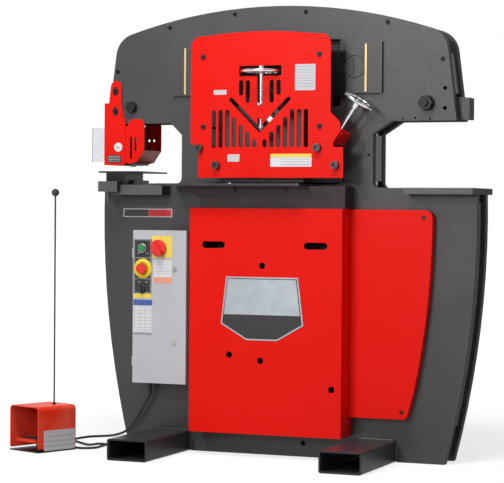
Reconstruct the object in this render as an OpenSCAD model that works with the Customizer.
// Hydraulic ironworker: a two-plate frame with three work stations, a hydraulic
// ram beam sliding between the plates, guards, covers, controls and a foot switch.
// Millimetres. Origin on the floor, at the centre of the four anchor holes.
// +Z is up, -Y faces the operator, +X is the operator's right.

/* [Frame] */
// Thickness of each of the two frame plates
plate_t = 32; // [26:1:40]
// Clear gap between the frame plates, where the ram beam slides
plate_gap = 82; // [70:1:100]
// Height of the floor of the left throat
table_z = 974; // [800:1:1170]
// Height of the throats, from their floor to the underside of the jaws
throat_h = 220; // [180:1:270]
// Height from the underside of the jaws to the crown
arch_h = 415; // [390:1:490]
// Reach of the body to the left of the origin
body_left = 672; // [660:1:800]
// Reach of the body to the right of the origin
body_right = 752; // [740:1:880]
// Half width of the column between the two throats
column_half = 367; // [350:1:400]

/* [Skids] */
// Width of the skid tube
skid_w = 152; // [126:1:180]
// Height of the skid tube
skid_h = 76; // [64:1:90]
// Wall of the skid tube
skid_wall = 6; // [4:0.5:10]
// Length of the skid tubes
skid_len = 910; // [750:1:1100]
// Distance between the centre lines of the skid tubes
skid_pitch = 786; // [660:1:800]
// Diameter of the anchor holes
anchor_d = 18; // [12:1:24]

/* [Ram] */
// Working stroke of the ram beam
stroke = 30; // [20:1:32]
// Side clearance between the beam and the frame plates
beam_play = 1; // [0.5:0.1:2]
// Outer diameter of the hydraulic cylinder
barrel_d = 300; // [250:1:320]
// Diameter of the piston rod
rod_d = 100; // [80:1:120]

/* [Covers] */
// Thickness of the cover sheets
sheet_t = 3; // [2:0.5:5]
// Depth of the front cover, from the frame plate
front_depth = 112; // [100:1:130]
// Depth of the rear cover, from the frame plate
rear_depth = 300; // [285:1:360]
// Thickness of the shear guard
guard_t = 4; // [3:0.5:8]
// Distance of the shear guard's face from the frame plate
guard_off = 140; // [130:1:160]

/* [Enclosure] */
// Width of the electrical enclosure
box_w = 211; // [180:1:218]
// Height of the electrical enclosure
box_h = 554; // [480:1:600]
// Depth of the electrical enclosure
box_d = 100; // [84:1:120]

/* [Foot switch] */
// Width of the foot switch shield
foot_w = 160; // [140:1:192]
// Depth of the foot switch shield
foot_d = 176; // [150:1:210]
// Height of the foot switch shield
foot_h = 165; // [140:1:198]
// Height of the carrying rod with its ball
rod_h = 786; // [650:1:900]
// Diameter of the foot switch cable
cable_d = 9; // [7:1:11]

/* [Hidden] */
$fn = 48;

charcoal = "#4b4a4c";
red = "#ee1c12";
black = "#1c1c1e";
steel = "#9a9c9e";
chrome = "#d8dadc";
grey = "#c4c5c9";
bronze = "#c8a468";

// Seats between pieces of one body, and between pieces of different bodies
seat = 0.3;
clear = 0.6;

// Frame planes
face_y = plate_gap / 2 + plate_t;
gap_y = plate_gap / 2;
jaw_z = table_z + throat_h;
crown_z = jaw_z + arch_h;
column_x = 7;
right_floor = table_z - 14;
right_table_t = 22;
side_r = 3400;
side_z = table_z - 120;
crown_r = 1880;
corner_r = 88;
jaw_half = 660;
jaw_slope = 0.13;

// Stations
punch_x = -590;
tool_half = 243;
tool_bottom = table_z - 34;
tool_top = jaw_z + 290;
guide_w = 134;
guide_z0 = jaw_z + 98;
guide_h = 179;
guide_x = column_half + 34 - guide_w / 2;
guide_lip = 12;
guide_proud = 12;

// Ram
beam_y = gap_y - beam_play;
tie_x = column_half - 55;
tie_w = 90;
tie_t = 30;
tie_pin_z = jaw_z + 190;
pin_r = 30;
yoke_h = 100;
yoke_z = table_z - 190;
cyl_window = barrel_d + 20;
cyl_top = yoke_z - stroke - 60;
cyl_bottom = 285;
head_h = 60;
bore_r = barrel_d / 2 - 25;
shear_y = 1;

// Angle shear: a V with its point down at x = 0. The guard's slot is centred on vee_z,
// and the stock lies in a V whose corner is at stock_z.
vee_z = table_z + 186;
stock_z = vee_z - 8;
vee_arm = 108;
vee_gap = 26;

// Covers
cover_x0 = -276;
cover_x1 = 301;
cover_z0 = 84;
cover_z1 = table_z - 89;
cover_y = face_y + front_depth;
rear_y = face_y + rear_depth;
pan_d = 30;
guard_y = face_y + guard_off;

// Enclosure
box_x = -506;
box_z = 249;
box_t = 2;
door_d = 12.5;
box_y = face_y + box_d;
door_y = box_y - door_d;

// Hold-down screws
screw_r = 7;
angle_screw_y = guard_y - 15;
angle_wheel_z = jaw_z + 173;
angle_wheel_r = 75;
side_tilt = 34;
side_y = 150;
side_pad = [215, jaw_z - 125];
side_wheel_s = 233;
side_wheel_r = 60;

// Foot switch
foot_x = -813;
foot_y = -282;
foot_turn = -22;

// Outline helpers: points in the XZ plane, drawn as [x, z]
function arc(c, r, a0, a1, n) =
  [for (i = [0:n]) c + r * [cos(a0 + (a1 - a0) * i / n), sin(a0 + (a1 - a0) * i / n)]];
function side_x(z, reach) = reach - side_r + sqrt(side_r * side_r - (z - side_z) * (z - side_z));

// Extrudes an XZ outline from y0 to y1
module slab(y0, y1) {
  translate([0, y1, 0]) rotate([90, 0, 0]) linear_extrude(y1 - y0) children();
}
module box(x0, x1, y0, y1, z0, z1) {
  translate([x0, y0, z0]) cube([x1 - x0, y1 - y0, z1 - z0]);
}
// Round bar along Y, and a bore of the same form
module bar_y(x, z, r, y0, y1) {
  translate([x, y1, z]) rotate([90, 0, 0]) cylinder(r = r, h = y1 - y0);
}
module hex_y(x, z, af, y0, y1) {
  translate([x, y1, z]) rotate([90, 0, 0]) cylinder(r = af / sqrt(3), h = y1 - y0, $fn = 6);
}
module slot_2d(p, q, r) {
  a = atan2(q[1] - p[1], q[0] - p[0]);
  polygon(concat(arc(q, r, a - 90, a + 90, 10), arc(p, r, a + 90, a + 270, 10)));
}
module rounded_2d(x0, x1, z0, z1, r) {
  polygon(concat(arc([x1 - r, z0 + r], r, -90, 0, 6), arc([x1 - r, z1 - r], r, 0, 90, 6),
    arc([x0 + r, z1 - r], r, 90, 180, 6), arc([x0 + r, z0 + r], r, 180, 270, 6)));
}

// ---------------------------------------------------------------- frame

// Crown corner: where the sloping side meets the crown arc
function crown_z_at(x) = crown_z - crown_r + sqrt(crown_r * crown_r - x * x);
crown_c = crown_z - crown_r;
// Centre of the round that meets both the crown arc and the side of half width h
function corner_c(h) =
  let (k = jaw_slope, d = crown_r - corner_r, q = 1 + k * k,
    a = h - k * (crown_c - jaw_z) - corner_r * sqrt(q),
    z = (a * k + sqrt(a * a * k * k - q * (a * a - d * d))) / q)
  [a - k * z, crown_c + z];
function crown_angle(c) = atan2(c[1] - crown_c, c[0]);
jaw_side = [jaw_half, jaw_half + 16];
// A small hole beside the right throat: x, height from the jaw line, radius
gauge_hole = [358, -119, 4];
module frame_outline() {
  inner_l = column_x - column_half;
  inner_r = column_x + column_half;
  bevel = 44;
  fillet = 20;
  left_side = [for (i = [0:10]) let (z = table_z * i / 10) [-side_x(z, body_left), z]];
  right_side = [for (i = [10:-1:0]) let (z = (right_floor - right_table_t) * i / 10)
    [side_x(z, body_right), z]];
  round_l = corner_c(jaw_side[0]);
  round_r = corner_c(jaw_side[1]);
  turn_l = crown_angle(round_l);
  turn_r = crown_angle(round_r);
  tilt = atan(jaw_slope);
  crown = [for (i = [1:17]) let (a = 180 - turn_l + (turn_r + turn_l - 180) * i / 18)
    [crown_r * cos(a), crown_c + crown_r * sin(a)]];
  polygon(concat(
    left_side,
    arc([inner_l - fillet, table_z + fillet], fillet, -90, 0, 5),
    [[inner_l, jaw_z - bevel], [inner_l - bevel, jaw_z], [-jaw_side[0], jaw_z]],
    arc([-round_l[0], round_l[1]], corner_r, 180 - tilt, 180 - turn_l, 8),
    crown,
    arc(round_r, corner_r, turn_r, tilt, 8),
    [[jaw_side[1], jaw_z], [inner_r + bevel + 24, jaw_z], [inner_r, jaw_z - bevel]],
    arc([inner_r + fillet, right_floor + fillet], fillet, 180, 270, 5),
    [[504, right_floor], [504, right_floor - right_table_t]],
    right_side
  ));
}
module skid_notches() {
  for (s = [-1, 1])
    translate([s * skid_pitch / 2 - skid_w / 2 - seat, -1])
      square([skid_w + 2 * seat, skid_h + seat + 1]);
}
module frame_plate_2d() {
  difference() {
    frame_outline();
    skid_notches();
    translate([-tool_half + column_x, tool_bottom])
      square([2 * tool_half, tool_top - tool_bottom]);
    translate([column_x - cyl_window / 2, cyl_bottom - seat])
      square([cyl_window, cyl_top + seat - cyl_bottom + seat]);
    translate([column_x - rod_d / 2 - 4, cyl_top])
      square([rod_d + 8, yoke_z + 4 - cyl_top]);
    for (s = [-1, 1])
      translate([column_x + s * guide_x - guide_w / 2 + guide_lip, guide_z0 + guide_lip])
        square([guide_w - 2 * guide_lip, guide_h - 2 * guide_lip]);
  }
}
crown_holes = [[-410, -16], [-154, -14], [119, -16], [425, -16]];
function crown_bolt(i) = [crown_holes[i][0], crown_z_at(crown_holes[i][0]) + crown_holes[i][1] - 6];
jaw_bolts = [[-620, 191], [626, 212]];
module plate_holes() {
  for (i = [0:3])
    bar_y(crown_bolt(i)[0], crown_bolt(i)[1], 9, -face_y - 1, face_y + 1);
  for (b = jaw_bolts)
    bar_y(b[0], jaw_z + b[1], 9, -face_y - 1, 0);
  bar_y(gauge_hole[0], jaw_z + gauge_hole[1], gauge_hole[2], -face_y - 1, 0);
  for (x = [481, 527, 581])
    bar_y(x, jaw_z + 10 - abs(x - 527) / 15, 3.5, -face_y - 1, -face_y + 20);
  for (z = [43, 112])
    bar_y(634, jaw_z + z, 7, -face_y - 1, -face_y + 25);
  for (z = punch_guard_screws)
    bar_y(punch_guard_x, jaw_z + z, 6.2, -face_y - 1, -face_y + 16);
  bar_y(121, 49, 9, -face_y - 1, -gap_y + 1);
  bar_y(569, jaw_z + 61, 12, -face_y - 1, face_y + 1);
}
module front_frame_plate() {
  color(charcoal) difference() {
    slab(-face_y, -gap_y) frame_plate_2d();
    plate_holes();
  }
}
module rear_frame_plate() {
  color(charcoal) difference() {
    slab(gap_y, face_y) frame_plate_2d();
    plate_holes();
  }
}
// Bars that hold the plates apart along both sides of the body and under the crown, and
// strips that close the gap at the right throat and at the right end
spacer_in = 12;
module frame_spacers() {
  bar_w = 70;
  y = gap_y;
  color(black) {
    slab(-y, y) polygon(concat(
      [for (i = [1:10]) let (z = 50 + (table_z - 80) * i / 10)
        [-side_x(z, body_left - spacer_in), z]],
      [for (i = [10:-1:1]) let (z = 50 + (table_z - 80) * i / 10)
        [-side_x(z, body_left - spacer_in - bar_w), z]]));
    slab(-y, y) polygon(concat(
      [for (i = [1:10]) let (z = 40 + (right_floor - 90) * i / 10)
        [side_x(z, body_right - spacer_in), z]],
      [for (i = [10:-1:1]) let (z = 40 + (right_floor - 90) * i / 10)
        [side_x(z, body_right - spacer_in - bar_w), z]]));
    difference() {
      slab(-y, y) polygon(concat(
        [for (i = [0:16]) let (x = -520 + 1040 * i / 16) [x, crown_z_at(x) - 6]],
        [for (i = [16:-1:0]) let (x = -520 + 1040 * i / 16) [x, crown_z_at(x) - 44]]));
      for (i = [0:3])
        bar_y(crown_bolt(i)[0], crown_bolt(i)[1], 9, -face_y, face_y);
    }
    box(column_x + column_half - 6.5, column_x + column_half - 2.5, -y, y,
      right_floor + 24, jaw_z - 48);
    slab(-y, y) polygon([for (p = [[-8, 96], [-8, 236], [-13, 236], [-13, 96]])
      [jaw_side[1] - jaw_slope * p[1] + p[0], jaw_z + p[1]]]);
  }
}
module skid(x) {
  difference() {
    slab(-skid_len / 2, skid_len / 2) difference() {
      rounded_2d(x - skid_w / 2, x + skid_w / 2, 0, skid_h, 8);
      rounded_2d(x - skid_w / 2 + skid_wall, x + skid_w / 2 - skid_wall,
        skid_wall, skid_h - skid_wall, 4);
    }
    for (s = [-1, 1])
      translate([x, s * anchor_pitch_y / 2, -1]) cylinder(d = anchor_d, h = skid_h + 2);
  }
}
anchor_pitch_y = skid_len - 56;
module left_skid() { color(charcoal) skid(-skid_pitch / 2); }
module right_skid() { color(charcoal) skid(skid_pitch / 2); }

// Socket plugs along the crown, and the hexagon bolts at both jaws
stud_x = -562;
module frame_bolts() {
  color(black) {
    for (i = [0:3])
      difference() {
        bar_y(crown_bolt(i)[0], crown_bolt(i)[1], 9 - seat / 3, -face_y + 2, face_y - 2);
        hex_y(crown_bolt(i)[0], crown_bolt(i)[1], 8, -face_y + 1, -face_y + 12);
      }
    for (b = jaw_bolts)
      difference() {
        bar_y(b[0], jaw_z + b[1], 9 - seat / 3, -face_y + 2, -gap_y - 2);
        hex_y(b[0], jaw_z + b[1], 8, -face_y + 1, -face_y + 12);
      }
    bar_y(stud_x, jaw_z + 60, 22, -face_y - 5, -face_y);
    hex_y(stud_x, jaw_z + 60, 36, -face_y - 21, -face_y - 5);
  }
  color(steel) {
    bar_y(569, jaw_z + 61, 28, -face_y - 5, -face_y);
    difference() {
      hex_y(569, jaw_z + 61, 46, -face_y - 27, -face_y - 5);
      bar_y(569, jaw_z + 61, 11.5, -face_y - 28, -face_y - 4);
    }
    bar_y(569, jaw_z + 61, 11.3, -face_y - 38, -gap_y - 2);
  }
}

// ---------------------------------------------------------------- ram guides
module guide_block(x) {
  difference() {
    union() {
      box(x - guide_w / 2, x + guide_w / 2, -face_y - guide_proud, -face_y,
        guide_z0, guide_z0 + guide_h);
      box(x - guide_w / 2 + guide_lip + seat, x + guide_w / 2 - guide_lip - seat,
        -face_y, -gap_y, guide_z0 + guide_lip + seat, guide_z0 + guide_h - guide_lip - seat);
    }
    strip_hole(x, seat / 3);
    if (x > 0) bar_y(plug_x, plug_z, plug_r + 3, -face_y - guide_proud - 1,
      -face_y - guide_proud + 6);
  }
  // Slotted adjusting plug, on the right-hand blocks
  if (x > 0) difference() {
    bar_y(plug_x, plug_z, plug_r, -face_y - guide_proud + 1, -face_y - guide_proud + 6);
    box(plug_x - 4, plug_x + 4, -face_y - guide_proud, -face_y - guide_proud + 4,
      plug_z - 27, plug_z + 27);
  }
}
plug_x = column_x + guide_x - 34;
plug_z = guide_z0 + guide_h / 2 + 3;
plug_r = 37;
strip_w = 7;
strip_h = guide_h - 30;
strip_long = guide_h - 12;
function side_of(x) = x < 0 ? -1 : 1;
module strip_hole(x, extra) {
  sx = x + side_of(x) * 12 - 5;
  for (part = [[-face_y - guide_proud - 1, -face_y - seat, strip_long],
               [-face_y - seat - 1, -gap_y + 1, strip_h]])
    box(sx - strip_w / 2 - extra, sx + strip_w / 2 + extra, part[0], part[1],
      guide_z0 + (guide_h - part[2]) / 2 - extra, guide_z0 + (guide_h + part[2]) / 2 + extra);
}
module all_sides() {
  for (m = [0, 1]) mirror([0, m, 0]) children();
}
module guide_blocks() {
  color(charcoal) all_sides()
    for (s = [-1, 1]) guide_block(column_x + s * guide_x);
}
module wear_strips() {
  color(bronze) all_sides()
    for (s = [-1, 1])
      intersection() {
        strip_hole(column_x + s * guide_x, 0);
        box(-900, 900, -face_y - guide_proud + 0.5, -gap_y + beam_play - 0.35, 0, 3000);
      }
}

// ---------------------------------------------------------------- ram
beam_left = -624;
beam_tip = 710;
nose_y = 30;
beam_shoulder = 636;
beam_rise = 4;
// The beam is cut away over the tools; the rear half of the cut holds the blade carrier
notch_half = tool_half + 8;
notch_z = jaw_z + 166;
module moving_beam() {
  top = [for (i = [0:14]) let (x = 580 - 1150 * i / 14) [x, crown_z_at(x) - 58]];
  color(charcoal) difference() {
    union() {
      slab(-beam_y, beam_y) polygon(concat(
        [[beam_left, jaw_z + beam_rise],
         [column_x - notch_half, jaw_z + beam_rise],
         [column_x - notch_half, notch_z],
         [column_x + notch_half, notch_z],
         [column_x + notch_half, jaw_z + beam_rise],
         [beam_tip, jaw_z + beam_rise],
         [beam_tip, jaw_z + 80],
         [beam_shoulder, jaw_z + 84]],
        top,
        [[beam_left, jaw_z + 220]]));
      slab(shear_y + clear + blade_t, face_y - 3) blade_carrier_2d();
    }
    for (s = [-1, 1])
      translate([column_x + s * tie_x, 0, 0]) {
        box(-tie_w / 2 - seat, tie_w / 2 + seat, -tie_t / 2 - seat, tie_t / 2 + seat,
          jaw_z - 10, tie_pin_z + tie_w / 2 + 3);
        bar_y(0, tie_pin_z, pin_r, -beam_y - 1, beam_y + 1);
      }
    for (m = [0, 1]) mirror([0, m, 0])
      box(beam_shoulder + 8, beam_tip + 1, nose_y, beam_y + 1, jaw_z, jaw_z + 90);
    translate([punch_x, 0, jaw_z - 1]) cylinder(r = 22, h = 70);
    translate([beam_tip - 42, 0, jaw_z - 1]) cylinder(r = 20, h = 60);
  }
}
// Rear half of the tool window: carries both upper blades around the angle opening
carrier_half = tool_half - 6;
carrier_z0 = table_z + 34;
module vee_2d(z, half) {
  polygon([[0, z], [half, z + half], [half, z + half + 400], [-half, z + half + 400],
    [-half, z + half]]);
}
module blade_carrier_2d() {
  difference() {
    translate([column_x - carrier_half, carrier_z0])
      square([2 * carrier_half, tool_top - 24 - carrier_z0]);
    polygon([[0, stock_z - 36], [150, stock_z + 114], [150, stock_z + 154 + vee_gap],
      [0, stock_z + 4 + vee_gap], [-150, stock_z + 154 + vee_gap], [-150, stock_z + 114]]);
  }
}
module tie_bars() {
  color(steel)
    for (s = [-1, 1])
      difference() {
        slab(-tie_t / 2, tie_t / 2)
          rounded_2d(column_x + s * tie_x - tie_w / 2, column_x + s * tie_x + tie_w / 2,
            yoke_z + 4, tie_pin_z + tie_w / 2, 20);
        bar_y(column_x + s * tie_x, tie_pin_z, pin_r, -tie_t, tie_t);
        bar_y(column_x + s * tie_x, yoke_z + yoke_h / 2, pin_r, -tie_t, tie_t);
      }
}
module yoke_pins() {
  color(steel)
    for (s = [-1, 1])
      for (z = [tie_pin_z, yoke_z + yoke_h / 2])
        bar_y(column_x + s * tie_x, z, pin_r - 0.05, -beam_y + 1, beam_y - 1);
}
yoke_half = tie_x + tie_w / 2 + 10;
module lower_yoke() {
  color(charcoal) difference() {
    slab(-beam_y + 1, beam_y - 1)
      rounded_2d(column_x - yoke_half, column_x + yoke_half, yoke_z, yoke_z + yoke_h, 14);
    for (s = [-1, 1])
      translate([column_x + s * tie_x, 0, 0]) {
        box(-tie_w / 2 - seat, tie_w / 2 + seat, -tie_t / 2 - seat, tie_t / 2 + seat,
          yoke_z + 3, yoke_z + yoke_h + 1);
        bar_y(0, yoke_z + yoke_h / 2, pin_r, -beam_y, beam_y);
      }
    translate([column_x, 0, yoke_z - 1]) cylinder(r = rod_end_r, h = 71);
  }
}
rod_end_r = 32;
piston_h = 60;
module piston_rod() {
  color(chrome) translate([column_x, 0, 0]) {
    translate([0, 0, cyl_top - head_h - 70]) cylinder(d = rod_d, h = yoke_z - cyl_top + head_h + 70);
    translate([0, 0, yoke_z]) cylinder(r = rod_end_r - 0.05, h = 69);
    translate([0, 0, cyl_top - head_h - 70 - piston_h]) cylinder(r = bore_r - 0.4, h = piston_h);
  }
}
module cylinder_barrel() {
  color(charcoal) translate([column_x, 0, 0]) difference() {
    union() {
      translate([0, 0, cyl_bottom]) cylinder(d = barrel_d, h = cyl_top - cyl_bottom);
      box(-barrel_d / 2 - 9, barrel_d / 2 + 9, -face_y, face_y, cyl_top - head_h, cyl_top);
      box(-barrel_d / 2 - 9, barrel_d / 2 + 9, -gap_y + 1, gap_y - 1, cyl_bottom, cyl_bottom + 40);
    }
    translate([0, 0, cyl_bottom + 30]) cylinder(r = bore_r, h = cyl_top - head_h - cyl_bottom - 30);
    translate([0, 0, cyl_top - head_h - 1]) cylinder(d = rod_d + 0.8, h = head_h + 2);
  }
}

// ---------------------------------------------------------------- shear station
die_half = 150;
hold_z = table_z + 3;
hold_x = [-255, 265];
module angle_die_holder() {
  color(charcoal) difference() {
    union() {
      slab(-face_y - 95, -face_y) intersection() {
        die_2d();
        translate([-die_half, 0]) square([2 * die_half, 3000]);
      }
      slab(-face_y, shear_y - blade_t) intersection() {
        die_2d();
        translate([column_x - tool_half + seat, 0])
          square([2 * (tool_half - seat), 3000]);
      }
      box(hold_x[0], hold_x[1], -face_y - bridge_t, -face_y, hold_z, carrier_z0 - 3);
    }
    for (s = [-1, 1]) bar_y(s * 190, table_z + 90, 9, -face_y - 1, face_y);
  }
}
die_top = stock_z + 95;
// The holder's lower edge is the hold-down over the flat bar
module die_2d() {
  difference() {
    translate([-400, hold_z]) square([800, die_top - hold_z]);
    vee_2d(stock_z, 120);
  }
}
blade_t = 24;
blade_h = 40;
// Hardened blades bolted to the fixed holders: two along the V, one along the table
module lower_blades() {
  color(steel) {
    for (s = [-1, 1])
      slab(shear_y - blade_t + seat, shear_y)
        polygon([[s * 1, stock_z + 1], [s * 118, stock_z + 118],
          [s * (118 + 28), stock_z + 118 - 28], [s * 1, stock_z + 1 - 56]]);
    difference() {
      box(column_x - tool_half + 10, column_x + tool_half - 10, shear_y - blade_t, shear_y,
        table_z - 2 - blade_h, table_z - 2);
      for (x = [-150, 0, 150])
        bar_y(column_x + x, table_z - 2 - blade_h / 2, 6, -50, 50);
    }
  }
}
// Their moving partners on the front of the carrier
module upper_blades() {
  edge_z = stock_z + vee_gap;
  x0 = column_x - tool_half + 10;
  x1 = column_x + tool_half - 10;
  color(steel)
    slab(shear_y + clear, shear_y + clear + blade_t) {
      for (s = [-1, 1])
        polygon([[s * 1, edge_z + 1], [s * 112, edge_z + 112], [s * 112, edge_z + 162],
          [s * 1, edge_z + 51]]);
      polygon([[x0, table_z + 25], [x1, table_z + 29], [x1, table_z + 29 + blade_h],
        [x0, table_z + 29 + blade_h]]);
    }
}
base_front = 163;
module shear_base_block() {
  color("#2c2628") {
    slab(-base_front, -face_y) polygon([[-247, table_z - 89], [303, table_z - 89],
      [303, table_z - 10], [-314, table_z - 10], [-247, table_z - 57]]);
    slab(-face_y, shear_y - blade_t - seat)
      translate([column_x - tool_half + seat, tool_bottom + seat])
        square([2 * (tool_half - seat), table_z - 4 - tool_bottom]);
  }
}
table_x0 = -380;
table_x1 = 161;
table_front = 243;
module shear_table() {
  color(grey) difference() {
    box(table_x0, table_x1, -table_front, -face_y, table_z - 10, table_z - 2);
    for (x = [-300, 100])
      translate([x, -120, table_z - 20]) cylinder(r = 5, h = 30);
  }
}
// Bridge plate over the tool window, with the arm that guides the angle hold-down
bridge_t = 12;
boss_z = jaw_z + 200;
boss_h = 40;
module angle_screw_bracket() {
  color(black) difference() {
    union() {
      box(column_x - tool_half - 20, column_x + tool_half + 20, -face_y - bridge_t, -face_y,
        jaw_z + 88, jaw_z + 250);
      box(-20, 20, -guard_y + guard_t + seat, -face_y, boss_z, boss_z + boss_h);
    }
    translate([0, -angle_screw_y, boss_z - 1]) cylinder(r = screw_r + 0.4, h = boss_h + 2);
    for (s = [-1, 1])
      for (z = [104, 234])
        bar_y(column_x + s * (tool_half + 10), jaw_z + z, 5, -face_y - bridge_t - 1, -face_y + 1);
  }
}
function side_point(s) = side_pad + s * [sin(side_tilt), cos(side_tilt)];
module along_side(s) {
  p = side_point(s);
  translate([p[0], -side_y, p[1]]) rotate([0, side_tilt, 0]) children();
}
module side_screw_bracket() {
  color(black) difference() {
    union() {
      along_side(62) translate([-22, -20, 0]) cube([44, side_y - face_y + 20, 46]);
      along_side(52) cylinder(r = 15, h = 66);
    }
    along_side(40) cylinder(r = screw_r + 0.4, h = 100);
    box(0, 600, -face_y, face_y, 900, 1600);
  }
}
module screw_body(len, pad) {
  cylinder(r = screw_r, h = len);
  cylinder(r1 = pad - 4, r2 = pad, h = 6);
  translate([0, 0, 6]) cylinder(r = pad, h = 8);
}
angle_tip_z = stock_z + 9;
module angle_screw() {
  color(chrome) translate([0, -angle_screw_y, angle_tip_z])
    screw_body(boss_z + boss_h + 6 - angle_tip_z, 10);
}
module side_screw() {
  color(chrome) along_side(0) screw_body(side_wheel_s + 12, 14);
}
module wheel(r, hub) {
  rim = 6;
  difference() {
    union() {
      rotate_extrude() translate([r - rim, 0]) circle(rim, $fn = 24);
      translate([0, 0, -8]) cylinder(r = hub, h = 16);
      for (a = [0, 120, 240])
        rotate([0, 0, a + 30]) translate([hub - 2, -5, -2.5]) cube([r - rim - hub - 1, 10, 5]);
    }
    translate([0, 0, -20]) cylinder(r = screw_r + 0.05, h = 40);
  }
}
// The angle wheel is the nut: its sleeve bears up against the arm
module angle_handwheel() {
  color(chrome) translate([0, -angle_screw_y, angle_wheel_z]) {
    wheel(angle_wheel_r, 14);
    difference() {
      cylinder(r = 10.5, h = boss_z - seat - angle_wheel_z);
      translate([0, 0, -1]) cylinder(r = screw_r + 0.05, h = 60);
    }
  }
}
module side_handwheel() {
  color(chrome) along_side(side_wheel_s) {
    wheel(side_wheel_r, 13);
    translate([0, 0, -30]) difference() {
      cylinder(r1 = 11, r2 = 16, h = 24);
      translate([0, 0, -1]) cylinder(r = screw_r + 0.05, h = 30);
    }
  }
}

// ---------------------------------------------------------------- shear guard
guard_z0 = table_z + 18;
guard_z1 = jaw_z + 313;
upper_half = 264;
// Guard bolts: x, height from the jaws, and where the spacer sleeve ends
guard_bolt_at = [[-229, -96, face_y], [217, -96, guard_y - 28], [-163, -157, face_y],
  [284, -157, face_y]];
guard_button_at = [[-216, 227], [222, 228], [-215, -21], [224, -22]];
vent_top = [64, 64, 64, 37, 10, -13, -40];
vent_r = 8;
module shear_guard() {
  crown_pts = [for (i = [0:8]) let (x = 190 - 380 * i / 8) [x, guard_z1 - x * x / 3300]];
  color(red) difference() {
    slab(-guard_y, -guard_y + guard_t) difference() {
      polygon(concat(
        [[-234, guard_z0], [312, guard_z0], [311, guard_z0 + 107], [275, guard_z0 + 107],
         [275, guard_z0 + 124], [300, guard_z0 + 162], [300, guard_z0 + 193],
         [upper_half, guard_z0 + 228]],
        arc([upper_half - 40, guard_z1 - 52], 40, 0, 70, 6),
        crown_pts,
        arc([-upper_half + 40, guard_z1 - 52], 40, 110, 180, 6),
        [[-upper_half, guard_z0 + 128], [-233, guard_z0 + 95]]));
      translate([-78, jaw_z + 156]) square([159, 36]);
      translate([-9, jaw_z + 54]) square([20, 103]);
      translate([-8, vee_z]) square([16, 41]);
      for (s = [-1, 1]) {
        slot_2d([0, vee_z], [s * vee_arm, vee_z + vee_arm], 7.5);
        slot_2d([s * 71, jaw_z + 96], [s * 71, jaw_z + 134], vent_r);
        slot_2d([s * 45, jaw_z + 69], [s * 45, jaw_z + 134], vent_r);
        for (i = [0:6])
          slot_2d([s * (174 - 25.8 * i), vee_z - 54],
            [s * (174 - 25.8 * i), vee_z + vent_top[i]], vent_r);
      }
    }
    for (b = guard_bolt_at) bar_y(b[0], jaw_z + b[1], 7, -guard_y - 1, -face_y);
    for (b = guard_button_at) bar_y(b[0], jaw_z + b[1], 5, -guard_y - 1, -face_y);
  }
}
// Socket-head bolts standing the guard off the frame plate on spacer sleeves
module guard_bolts() {
  color(black)
    for (b = guard_bolt_at) {
      bar_y(b[0], jaw_z + b[1], 7 - seat / 3, -guard_y, -b[2]);
      bar_y(b[0], jaw_z + b[1], 12, -guard_y + guard_t, -b[2]);
      difference() {
        bar_y(b[0], jaw_z + b[1], 14, -guard_y - 16, -guard_y);
        hex_y(b[0], jaw_z + b[1], 14, -guard_y - 17, -guard_y - 8);
      }
    }
}
module button_screw_y(x, z, r, y, depth) {
  difference() {
    union() {
      bar_y(x, z, r, y - r * 0.4, y);
      bar_y(x, z, r * 0.75, y - r * 0.65, y - r * 0.4);
      bar_y(x, z, r * 0.55 - seat / 3, y, y + depth);
    }
    hex_y(x, z, r * 0.6, y - r, y - r * 0.2);
  }
}
module button_screws() {
  color(steel) {
    for (b = guard_button_at)
      button_screw_y(b[0], jaw_z + b[1], 9, -guard_y, guard_off - (b[1] > 0 ? bridge_t : 0));
    for (z = punch_guard_screws)
      button_screw_y(punch_guard_x, jaw_z + z, 11, -face_y - guard_t, guard_t + 15);
    for (p = pan_screws()) button_screw_y(p[0], p[1], 7, -face_y - pan_d, sheet_t + 5);
    for (x = [-117, 75])
      translate([x, -base_front, table_z - 24]) rotate([90, 0, 0]) cylinder(r = 8, h = 6);
  }
}

// ---------------------------------------------------------------- punch station
bench_x0 = -651;
bench_x1 = -407;
bench_front = face_y + 70;
bench_top = table_z - 6.5;
// A bar on the frame's face, and a stop block proud of it with a levelling screw below
module left_bench() {
  color("#77757a") {
    box(bench_x0 + 41, bench_x1, -bench_front, -face_y, bench_top - 36, bench_top);
    box(bench_x0, bench_x0 + 77, -bench_front - 27, -bench_front + 22,
      table_z - 32, table_z + 6);
    translate([bench_x0 + 31, -bench_front, table_z - 72]) cylinder(r = 5, h = 41);
    translate([bench_x0 + 31, -bench_front, table_z - 54]) cylinder(r = 9, h = 8, $fn = 6);
  }
}
die_z = table_z + 45;
block_front = -bench_front + 22 + seat;
module die_block() {
  color(black) difference() {
    union() {
      box(punch_x - 60, punch_x + 41, -face_y + seat, 52, table_z, table_z + 12);
      box(punch_x - 52, punch_x + 28, block_front, 28, table_z + 12, table_z + 38);
      box(punch_x - 52, punch_x + 28, block_front, -face_y - seat, bench_top + seat,
        table_z + 12);
    }
    translate([punch_x, 0, table_z - 1]) cylinder(r = 12.5, h = 60);
    translate([punch_x, 0, table_z + 18]) cylinder(r = 25.1, h = 60);
  }
}
punch_r = 10;
module die() {
  color(steel) difference() {
    translate([punch_x, 0, table_z + 18]) cylinder(r = 25, h = die_z - table_z - 18);
    translate([punch_x, 0, table_z]) cylinder(r = punch_r + clear, h = 80);
  }
}
module punch_table() {
  color(black) difference() {
    box(punch_x - 84, punch_x + 81, -120, 130, table_z + 38, table_z + 44);
    translate([punch_x, 0, table_z]) cylinder(r = 26, h = 80);
  }
}
ram_foot = jaw_z - 70;
nut_h = 40;
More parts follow.
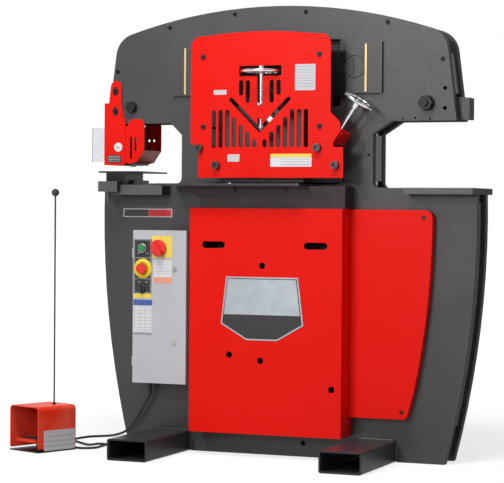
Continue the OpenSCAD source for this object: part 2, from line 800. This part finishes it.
module punch_ram() {
  color(steel) translate([punch_x, 0, 0]) difference() {
    union() {
      translate([0, 0, ram_foot]) cylinder(r = 42, h = jaw_z - 1 - ram_foot);
      translate([0, 0, ram_foot]) cylinder(r = gap_y - 3, h = jaw_z + beam_rise - ram_foot);
      translate([0, 0, jaw_z]) cylinder(r = 22 - seat / 3, h = 68);
    }
    translate([0, 0, ram_foot - 1]) cylinder(r = 18.1, h = 41);
  }
}
module punch_nut() {
  color(black) translate([punch_x, 0, ram_foot - nut_h]) difference() {
    cylinder(r = 36 / cos(30), h = nut_h, $fn = 6);
    translate([0, 0, -1]) cylinder(r = 14.1, h = 50);
    translate([0, 0, 20]) cylinder(r = 18.1, h = 50);
  }
}
punch_tip = die_z + 17;
module punch() {
  color(steel) translate([punch_x, 0, 0]) {
    translate([0, 0, punch_tip]) cylinder(r = punch_r, h = ram_foot - nut_h - punch_tip + 10);
    translate([0, 0, ram_foot - nut_h]) cylinder(r = 14, h = 20);
    translate([0, 0, ram_foot - nut_h + 20]) cylinder(r = 18, h = nut_h + 18);
  }
}
guard_l = -662;
guard_m = -587;
wing_l = -576;
guard_r = -510;
strap_x = -625;
strap_r = 22;
punch_guard_z0 = table_z + 67;
punch_guard_x = -627;
punch_guard_screws = [46, 120];
flange_w = 12;
// Front plate with its strap, side plate, rear plate, and the flange of the clear panel
module punch_guard() {
  color(red) difference() {
    union() {
      slab(-face_y - guard_t, -face_y) polygon(concat(
        [[guard_l, punch_guard_z0], [guard_m, punch_guard_z0],
         [guard_m, jaw_z + 12], [guard_m - 11, jaw_z + 45], [strap_x + strap_r, jaw_z + 72]],
        arc([strap_x, jaw_z + 136], strap_r, 0, 180, 10),
        [[strap_x - 29, jaw_z + 76], [guard_l, jaw_z + 76]]));
      slab(face_y, face_y + guard_t)
        translate([guard_l, punch_guard_z0])
          square([guard_m - guard_l, jaw_z + 12 - punch_guard_z0]);
      box(guard_l, guard_l + guard_t, -face_y - 1, face_y + 1, punch_guard_z0, jaw_z - 1);
      box(guard_l - flange_w, guard_l + 1, -face_y, -face_y + guard_t, punch_guard_z0,
        jaw_z + 76);
    }
    for (z = punch_guard_screws)
      slab(-face_y - guard_t - 1, -face_y)
        slot_2d([punch_guard_x, jaw_z + z - 10], [punch_guard_x, jaw_z + z + 10], 7);
    bar_y(guard_m - 11, jaw_z + 26, 3.5, -face_y - guard_t - 1, -face_y);
  }
}
// Two wings of one outline, on the front and the rear frame plate, and the flange that joins them
module wing_2d() {
  polygon(concat(
    [[wing_l, punch_guard_z0 + 4], [guard_r - 30, punch_guard_z0 + 11],
     [guard_r, jaw_z - 98]],
    arc([guard_r - 22, jaw_z - 6], 22, 0, 90, 5),
    arc([wing_l + 22, jaw_z - 6], 22, 90, 180, 5)));
}
module punch_guard_wing() {
  color(red) {
    slab(-face_y - guard_t, -face_y) difference() {
      wing_2d();
      slot_2d([-563, jaw_z - 126], [-563, jaw_z - 52], 4);
      slot_2d([-545, jaw_z - 98], [-545, jaw_z - 52], 4);
    }
    for (m = [0, 1]) mirror([0, m, 0])
      box(guard_m + seat, wing_l + 1, -face_y - guard_t + 2, -face_y,
        punch_guard_z0 + 8, jaw_z - 8);
    slab(-face_y - 1, face_y + 1)
      polygon([[guard_r, jaw_z - 98], [guard_r - 30, punch_guard_z0 + 11],
        [guard_r - 36, punch_guard_z0 + 12], [guard_r - guard_t - 1, jaw_z - 98]]);
    slab(face_y, face_y + guard_t) difference() {
      wing_2d();
      for (x = [-559, -539]) translate([x, jaw_z - 58]) circle(5);
    }
  }
}
module clear_panel() {
  color([0.85, 0.88, 0.9, 0.4])
    box(guard_l - flange_w - 49, guard_l - flange_w - seat, -face_y - 2, -face_y + 6,
      jaw_z - 140, jaw_z - 14);
}
module stripper_plate() {
  color(black) difference() {
    box(guard_l + guard_t + seat, punch_x + 30, -face_y + seat, face_y - seat,
      punch_guard_z0 + 1, punch_guard_z0 + 9);
    translate([punch_x, 0, punch_guard_z0]) cylinder(r = 20, h = 40);
    box(punch_x - 20, punch_x + 20, -face_y - 1, 0, punch_guard_z0, punch_guard_z0 + 20);
  }
}

// ---------------------------------------------------------------- right station
module right_table() {
  x1 = side_x(right_floor, body_right) + 1;
  color("#77757a") difference() {
    box(505, x1, -face_y - 60, face_y + 60, right_floor - right_table_t, right_floor);
    for (x = [560, 690])
      for (y = [-110, 110])
        translate([x, y, right_floor - 30]) cylinder(r = 8, h = 40);
  }
}

// ---------------------------------------------------------------- covers
module front_cover() {
  y = cover_y;
  color(red) difference() {
    box(cover_x0, cover_x1, -y, -face_y, cover_z0, cover_z1);
    box(cover_x0 + sheet_t, cover_x1 - sheet_t, -y + sheet_t, -face_y + 1,
      cover_z0 - 1, cover_z1 - sheet_t);
    for (x = [-184, 203])
      slab(-y - 1, -y + 10) slot_2d([x - 32, cover_z1 - 131], [x + 32, cover_z1 - 131], 12);
    for (h = [[3, -203], [-121, -521], [-2, -539], [265, -631]])
      bar_y(h[0], cover_z1 + h[1], 11.5, -y - 1, -y + 10);
  }
}
pan_x0 = 302;
pan_z0 = 153;
pan_z1 = table_z - 91;
pan_r = 2900;
function pan_x(z) = 602 - pan_r + sqrt(pan_r * pan_r - (z - 850) * (z - 850));
function pan_screws() = [[pan_x(pan_z1 - 26) - 32, pan_z1 - 26], [pan_x(pan_z0 + 27) - 28, pan_z0 + 27]];
module pan_2d(inset) {
  polygon(concat(
    [[pan_x0 + inset, pan_z0 + inset]],
    arc([pan_x(pan_z0) - 18, pan_z0 + 18], 18 - inset, -90, -10, 5),
    [for (i = [1:10]) let (z = pan_z0 + 30 + (pan_z1 - pan_z0 - 60) * i / 10) [pan_x(z) - inset, z]],
    arc([pan_x(pan_z1) - 28, pan_z1 - 28], 28 - inset, 0, 90, 5),
    [[pan_x0 + inset, pan_z1 - inset]]));
}
module right_cover() {
  color(red) difference() {
    slab(-face_y - pan_d, -face_y) pan_2d(0);
    slab(-face_y - pan_d + sheet_t, -face_y + 1) pan_2d(sheet_t);
    for (p = pan_screws()) bar_y(p[0], p[1], 4.2, -face_y - pan_d - 1, -face_y);
  }
}
module rear_cover() {
  color(red) difference() {
    box(cover_x0, cover_x1, face_y, rear_y, cover_z0, cover_z1);
    box(cover_x0 + sheet_t, cover_x1 - sheet_t, face_y - 1, rear_y - sheet_t,
      cover_z0 - 1, cover_z1 - sheet_t);
    for (i = [0:7])
      slab(rear_y - 10, rear_y + 1)
        slot_2d([-120, cover_z1 - 120 - 30 * i], [145, cover_z1 - 120 - 30 * i], 6);
  }
}

// ---------------------------------------------------------------- hydraulics
tank_x0 = cover_x0 + 14;
tank_x1 = cover_x1 - 14;
tank_z1 = cyl_bottom - 15;
module oil_tank() {
  color("#3c4a58") difference() {
    box(tank_x0, tank_x1, face_y, rear_y - 14, cover_z0 + 6, tank_z1);
    box(tank_x0 + 5, tank_x1 - 5, face_y + 5, rear_y - 19, cover_z0 + 11, tank_z1 - 5);
    translate([tank_x0 + 60, rear_y - 60, tank_z1 - 10]) cylinder(r = 20, h = 20);
  }
}
motor_r = 88;
motor_y = rear_y - 20 - motor_r;
module power_pack() {
  z = tank_z1 + motor_r + 12;
  color("#5b6670") {
    translate([tank_x0 + 90, motor_y, z]) rotate([0, 90, 0]) cylinder(r = motor_r, h = 260);
    box(tank_x0 + 120, tank_x0 + 320, motor_y - 60, motor_y + 60, tank_z1, z - 40);
  }
  color(steel) {
    translate([tank_x0 + 350, motor_y, z]) rotate([0, 90, 0]) cylinder(r = 52, h = 90);
    box(tank_x0 + 360, tank_x0 + 430, motor_y - 42, motor_y + 42, tank_z1, z - 30);
  }
}

// ---------------------------------------------------------------- enclosure
hinge_r = 4;
hinge_x = box_x - 5;
hinge_y = -door_y + 1;
hinge_z = [60, box_h - 100];
module electrical_box() {
  y0 = -door_y + 0.4;
  inner = box_x + 2;
  color(grey) {
    difference() {
      box(inner, box_x + box_w - 2, y0, -face_y, box_z + 2, box_z + box_h - 2);
      box(inner + box_t, box_x + box_w - 2 - box_t, y0 - 1, -face_y - box_t,
        box_z + 2 + box_t, box_z + box_h - 2 - box_t);
      translate([gland_at[0], gland_at[1], box_z - 5]) cylinder(r = gland_r + 0.1, h = 20);
    }
    for (z = hinge_z)
      difference() {
        union() {
          translate([hinge_x, hinge_y, box_z + z]) cylinder(r = hinge_r, h = 18);
          translate([hinge_x, hinge_y, box_z + z]) cube([7.5, 6, 18]);
        }
        translate([hinge_x, hinge_y, box_z + z - 1]) cylinder(r = hinge_pin_r, h = 20);
      }
  }
}
hinge_pin_r = 2;
module box_door() {
  color(grey) {
    difference() {
      union() {
        box(box_x, box_x + box_w, -box_y, -door_y, box_z, box_z + box_h);
        for (z = hinge_z) {
          translate([hinge_x, hinge_y, box_z + z + 18.4]) cylinder(r = hinge_r, h = 16);
          translate([hinge_x, hinge_y - 6, box_z + z + 18.4]) cube([5.5, 6, 16]);
        }
      }
      box(box_x + box_t, box_x + box_w - box_t, -box_y + box_t, -door_y + 1,
        box_z + box_t, box_z + box_h - box_t);
      for (c = control_at) bar_y(c[0], c[1], c[2] + clear / 2, -box_y - 1, -box_y + 5);
      for (z = latch_z) bar_y(latch_x, z, 6 + clear / 2, -box_y - 1, -box_y + 5);
    }
    for (z = hinge_z)
      translate([hinge_x, hinge_y, box_z + z + 0.5]) cylinder(r = hinge_pin_r - 0.06, h = 18.4);
  }
}
// Push buttons, disconnect and selector: centre and shaft radius
control_at = [[-470, box_z + 489, 11], [-466, box_z + 415, 11], [-403, box_z + 490, 8],
  [-469, box_z + 340, 8]];
latch_x = -341;
latch_z = [box_z + 415, box_z + 152];
module control(i, head_r, head_h, gap) {
  c = control_at[i];
  bar_y(c[0], c[1], c[2], -box_y - gap, -box_y + 9);
  bar_y(c[0], c[1], head_r, -box_y - gap - head_h, -box_y - gap);
}
module start_button() { color("#149a4a") control(0, 13, 6, 6); }
module stop_button() { color(red) control(1, 19, 14, 7); }
module disconnect_knob() {
  c = control_at[2];
  color(red) {
    control(2, 30, 10, 2);
    slab(-box_y - 28, -box_y - 12) translate([c[0], c[1]]) rotate(35) polygon(concat(
      arc([0, 22], 7, 0, 180, 6), arc([0, -22], 7, 180, 360, 6)));
  }
}
module selector_knob() {
  c = control_at[3];
  color(black) {
    control(3, 12, 8, 1);
    box(c[0] - 3, c[0] + 3, -box_y - 17, -box_y - 9, c[1] - 11, c[1] + 11);
  }
}
module latch(z) {
  difference() {
    bar_y(latch_x, z, 9, -box_y - 3, -box_y - seat);
    box(latch_x - 5.5, latch_x + 5.5, -box_y - 4, -box_y - 1.5, z - 1.2, z + 1.2);
  }
  bar_y(latch_x, z, 6, -box_y - seat, -box_y + 7);
  box(latch_x - 6, latch_x + 24, -box_y + 7, -box_y + 10, z - 6, z + 6);
}
module upper_latch() { color(steel) latch(latch_z[0]); }
module lower_latch() { color(steel) latch(latch_z[1]); }
module contactor_panel() {
  y = -face_y - box_t;
  color("#b8bab4") box(box_x + 16, box_x + box_w - 16, y - 3, y, box_z + 30, box_z + box_h - 30);
  color(black) {
    box(box_x + 40, box_x + 95, y - 63, y - 3, box_z + 300, box_z + 400);
    box(box_x + 115, box_x + 175, y - 53, y - 3, box_z + 300, box_z + 380);
    box(box_x + 40, box_x + 170, y - 38, y - 3, box_z + 90, box_z + 120);
  }
}
gland_at = [-466, -face_y - 33];
gland_r = 9;
cable_r = cable_d / 2;
gland_len = 46;
// Strain relief under the enclosure: nut, body and a tapered sleeve
module cable_gland() {
  color(black) translate([gland_at[0], gland_at[1], 0]) difference() {
    union() {
      translate([0, 0, box_z - 6]) cylinder(r = 14 / cos(30), h = 8, $fn = 6);
      translate([0, 0, box_z - 6]) cylinder(r = gland_r, h = 18);
      translate([0, 0, box_z - gland_len])
        cylinder(r1 = cable_r + 1.5, r2 = gland_r, h = gland_len - 6);
    }
    translate([0, 0, box_z - gland_len - 1]) cylinder(r = cable_r + 0.05, h = gland_len + 20);
  }
}

// ---------------------------------------------------------------- foot switch
module at_foot() {
  translate([foot_x, foot_y, 0]) rotate([0, 0, foot_turn]) children();
}
base_t = 5;
module foot_shell_2d(inset) {
  rounded_2d(-foot_w / 2 + inset, foot_w / 2 - inset, base_t + (inset > 0 ? -1 : 0.2),
    foot_h - inset, 16 - inset);
}
module foot_shield() {
  wall = 4;
  color(red) at_foot() difference() {
    slab(-foot_d / 2, foot_d / 2) foot_shell_2d(0);
    slab(-foot_d / 2 - 1, foot_d / 2 - wall) union() {
      foot_shell_2d(wall);
      translate([-foot_w / 2 + wall, base_t - 1]) square([foot_w - 2 * wall, 30]);
    }
    translate([foot_cable_x, foot_d / 2 - 10, foot_cable_z]) rotate([-90, 0, 0])
      cylinder(r = 9.1, h = 20);
    translate([rod_x, rod_y, foot_h - 10]) cylinder(r = 3.1, h = 20);
  }
}
foot_cable_x = -46;
foot_cable_z = 24;
rod_x = 20;
rod_y = 36;
treadle_axis = [30, 26];
module foot_base() {
  color(black) at_foot() {
    box(-foot_w / 2, foot_w / 2, -foot_d / 2, foot_d / 2, 0, base_t);
    box(-20, 20, -8, 24, base_t, 19);
    difference() {
      union() {
        for (s = [-1, 1])
          box(s * 58 - 4, s * 58 + 4, treadle_axis[0] - 9, treadle_axis[0] + 9, base_t,
            treadle_axis[1] + 8);
      }
      translate([-80, treadle_axis[0], treadle_axis[1]]) rotate([0, 90, 0])
        cylinder(r = 4.05, h = 160);
    }
    translate([-66, treadle_axis[0], treadle_axis[1]]) rotate([0, 90, 0]) cylinder(r = 4, h = 132);
    translate([foot_cable_x, foot_d / 2 - 9, foot_cable_z]) rotate([-90, 0, 0])
      difference() {
        union() {
          cylinder(r = 9, h = 12);
          translate([0, 0, 12]) cylinder(r1 = 9, r2 = cable_r + 1.5, h = 28);
        }
        translate([0, 0, -1]) cylinder(r = cable_r + 0.05, h = 60);
      }
  }
}
module foot_treadle() {
  color("#f04a28") at_foot() difference() {
    union() {
      translate([-50, 0, 0]) rotate([90, 0, 90]) linear_extrude(100)
        polygon([[-80, 34], [-80, 46], [treadle_axis[0], 38], [treadle_axis[0] + 10, 32],
          [treadle_axis[0] + 10, 22], [treadle_axis[0] - 8, 22]]);
    }
    translate([-60, treadle_axis[0], treadle_axis[1]]) rotate([0, 90, 0])
      cylinder(r = 4.06, h = 120);
  }
}
ball_r = 14;
module carry_rod() {
  color(black) at_foot() {
    translate([rod_x, rod_y, foot_h - 8]) cylinder(r = 3, h = rod_h - ball_r + 8);
    translate([rod_x, rod_y, foot_h + 0.1]) cylinder(r = 7, h = 6, $fn = 6);
    translate([rod_x, rod_y, foot_h + rod_h - ball_r]) sphere(ball_r);
  }
}
// A point of the foot switch's own frame, seen from the origin
function foot_point(x, y, z) = [foot_x + x * cos(foot_turn) - y * sin(foot_turn),
  foot_y + x * sin(foot_turn) + y * cos(foot_turn), z];
// Route of the foot switch cable, from the enclosure to the back of the shield
route = [[gland_at[0], gland_at[1], box_z - 17], [gland_at[0], gland_at[1], box_z - 44],
  [-480, -105, 178], [-496, -104, 151], [-514, -102, 121], [-539, -100, 89], [-571, -96, 59],
  [-616, -92, 43], [-668, -88, 36], [-720, -84, 31], [-774, -80, 21], [-824, -77, 9],
  [-855, -87, 5], [-871, -110, 5], [-870, -138, 5], [-851, -161, 5], [-813, -177, 5],
  [-773, -190, 5], [-740, -204, 5], [-712, -216, 5], [-684, -219, 5], [-659, -205, 5],
  [-645, -179, 5], [-647, -134, 5], [-650, -97, 5], [-636, -73, 5], [-611, -60, 5],
  [-583, -66, 6], [-564, -88, 7], [-562, -117, 9], [-577, -143, 12], [-609, -156, 15],
  [-646, -156, 16], [-686, -143, 9], [-719, -119, 6], [-752, -103, 9], [-781, -108, 16],
  [-801, -129, 22], foot_point(foot_cable_x, foot_d / 2 + 31, foot_cable_z),
  foot_point(foot_cable_x, foot_d / 2 + 1, foot_cable_z)];
function spline(p, k, t) = let (
  a = p[max(k - 1, 0)], b = p[k], c = p[k + 1], d = p[min(k + 2, len(p) - 1)])
  b + t * (c - a) / 2 + t * t * (a - 2.5 * b + 2 * c - d / 2)
  + t * t * t * (-a / 2 + 1.5 * b - 1.5 * c + d / 2);
function path() = concat(
  [for (k = [0:len(route) - 2]) for (t = k < 2 ? [0] : [0, 0.5]) spline(route, k, t)],
  [route[len(route) - 1]]);
function unit(v) = v / norm(v);
module swept_tube(pts, r, sides) {
  n = len(pts);
  ring = [for (i = [0:n - 1]) let (
    d = unit(pts[min(i + 1, n - 1)] - pts[max(i - 1, 0)]),
    u = unit(cross(abs(d[2]) > 0.8 ? [0, 1, 0] : [0, 0, 1], d)),
    w = cross(d, u))
    for (j = [0:sides - 1]) pts[i] + r * (cos(360 * j / sides) * u + sin(360 * j / sides) * w)];
  faces = concat(
    [[for (j = [sides - 1:-1:0]) j]],
    [for (i = [0:n - 2]) for (j = [0:sides - 1])
      [i * sides + j, i * sides + (j + 1) % sides, (i + 1) * sides + (j + 1) % sides,
       (i + 1) * sides + j]],
    [[for (j = [0:sides - 1]) (n - 1) * sides + j]]);
  polyhedron(ring, faces);
}
module foot_cable() { color(black) swept_tube(path(), cable_r, 8); }
front_frame_plate();
rear_frame_plate();
frame_spacers();
left_skid();
right_skid();
frame_bolts();
guide_blocks();
wear_strips();
cylinder_barrel();
oil_tank();
power_pack();
angle_die_holder();
lower_blades();
shear_base_block();
angle_screw_bracket();
side_screw_bracket();
shear_guard();
guard_bolts();
button_screws();
shear_table();
left_bench();
die_block();
die();
punch_table();
punch_guard();
punch_guard_wing();
clear_panel();
stripper_plate();
right_table();
front_cover();
right_cover();
rear_cover();
electrical_box();
contactor_panel();
cable_gland();
foot_shield();
foot_base();
carry_rod();
foot_cable();
moving_beam();
tie_bars();
lower_yoke();
yoke_pins();
piston_rod();
upper_blades();
punch_ram();
punch_nut();
punch();
box_door();
start_button();
stop_button();
disconnect_knob();
selector_knob();
upper_latch();
lower_latch();
angle_screw();
angle_handwheel();
side_screw();
side_handwheel();
foot_treadle();
